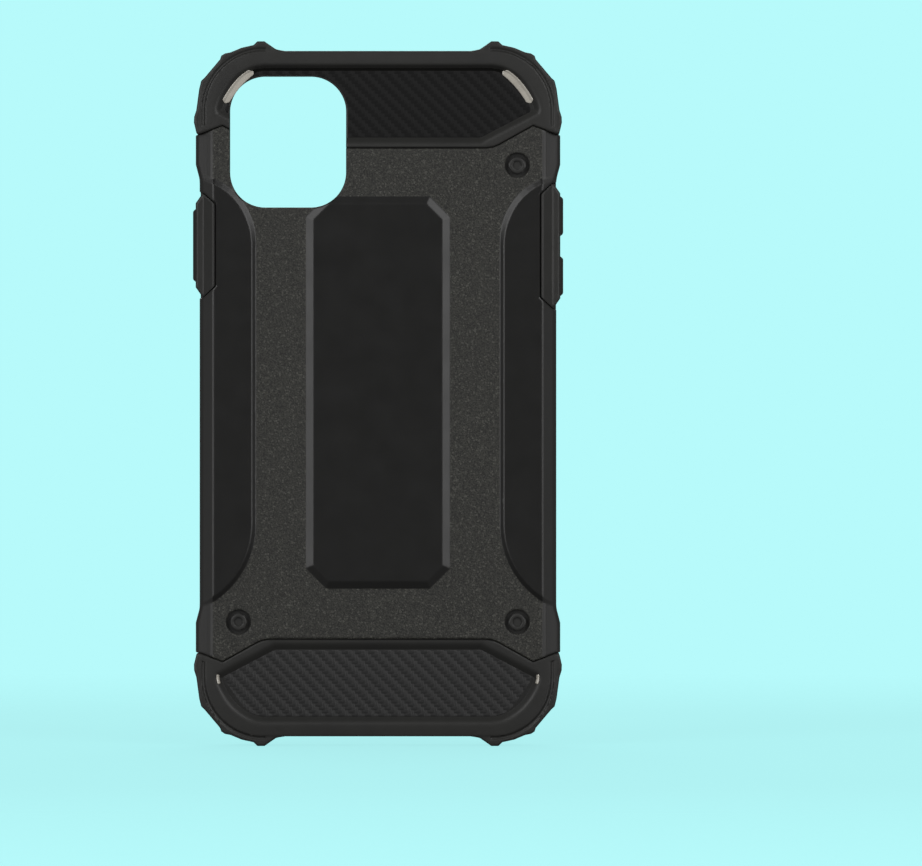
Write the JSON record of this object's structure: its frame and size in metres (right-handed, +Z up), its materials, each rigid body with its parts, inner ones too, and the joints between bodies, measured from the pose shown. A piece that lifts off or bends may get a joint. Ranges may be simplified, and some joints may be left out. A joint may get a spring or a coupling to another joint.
{
  "type": "phone case",
  "caption": "Rugged two-layer phone case: soft inner sleeve with corner bumpers, snap-off hard shell, press buttons.",
  "frame": {"origin": "on the surface under the bumper feet, midway across the width and the thickness", "axes": "+Z up to the case's top end, -Y out of the case's back, +X to the right seen from behind"},
  "size_m": [0.0844, 0.0128, 0.1603],
  "materials": {
    "soft_black": "satin soft moulding, carbon weave in the sunken end panels",
    "hard_charcoal": "fine sparkle grain, smooth raised panels"
  },
  "bodies": {
    "sleeve": {"inner_sleeve": "soft_black"},
    "shell": {"outer_shell": "hard_charcoal"},
    "power_key": {"power_button": "soft_black"},
    "volume_up_key": {"volume_up_button": "soft_black"},
    "volume_down_key": {"volume_down_button": "soft_black"}
  },
  "joints": [
    {"name": "shell_unsnap", "type": "slide", "parent": "sleeve", "child": "shell", "axis": [0, -1, 0], "range_m": [0, 0.02]},
    {"name": "power_press", "type": "slide", "parent": "sleeve", "child": "power_key", "axis": [1, 0, 0], "range_m": [0, 0.0004], "stiffness_N_per_m": 2000},
    {"name": "volume_up_press", "type": "slide", "parent": "sleeve", "child": "volume_up_key", "axis": [-1, 0, 0], "range_m": [0, 0.0004], "stiffness_N_per_m": 2000},
    {"name": "volume_down_press", "type": "slide", "parent": "sleeve", "child": "volume_down_key", "axis": [-1, 0, 0], "range_m": [0, 0.0004], "stiffness_N_per_m": 2000}
  ]
}
